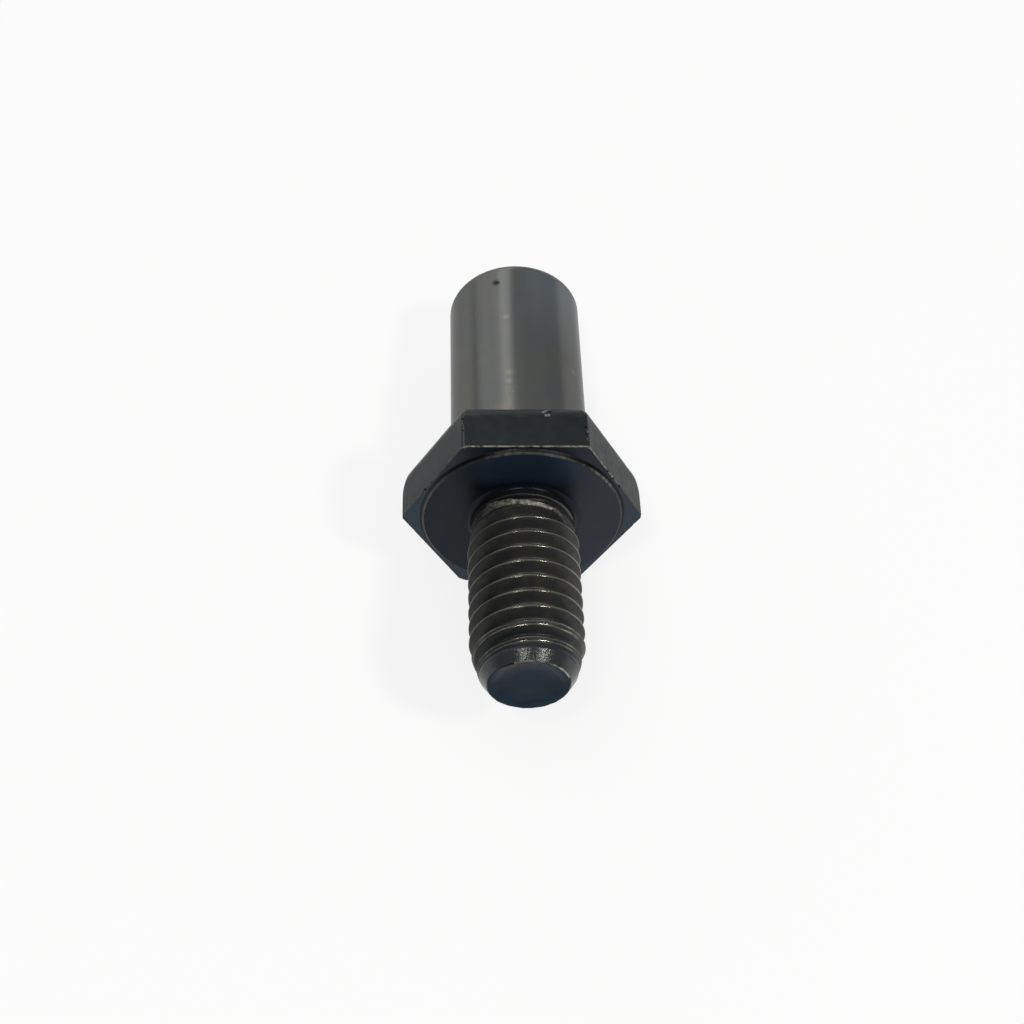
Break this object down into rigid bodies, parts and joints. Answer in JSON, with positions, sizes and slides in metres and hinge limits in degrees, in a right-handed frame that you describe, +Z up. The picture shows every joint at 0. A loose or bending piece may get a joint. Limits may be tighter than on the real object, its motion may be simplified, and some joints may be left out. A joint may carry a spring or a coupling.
{
  "type": "threaded stud",
  "caption": "Steel stud with a plain round pin, a hex collar with a raised seat, and a right-hand threaded end with a tapered and chamfered tip.",
  "frame": {"origin": "centre of the footprint's box, on the surface the stud lies on", "axes": "+Z up; the stud lies with its threaded end towards -Y, raised by 7.9 degrees, because the hex collar is wider than the pin; the pin's end is at +Y; +X to the right seen from the threaded end"},
  "size_m": [0.017, 0.0362, 0.0151],
  "materials": {
    "dark_steel": "black-oxide collar and thread with bright worn crests and edges; satin ground grey pin"
  },
  "bodies": {
    "root": {"stud": "dark_steel"}
  },
  "joints": []
}
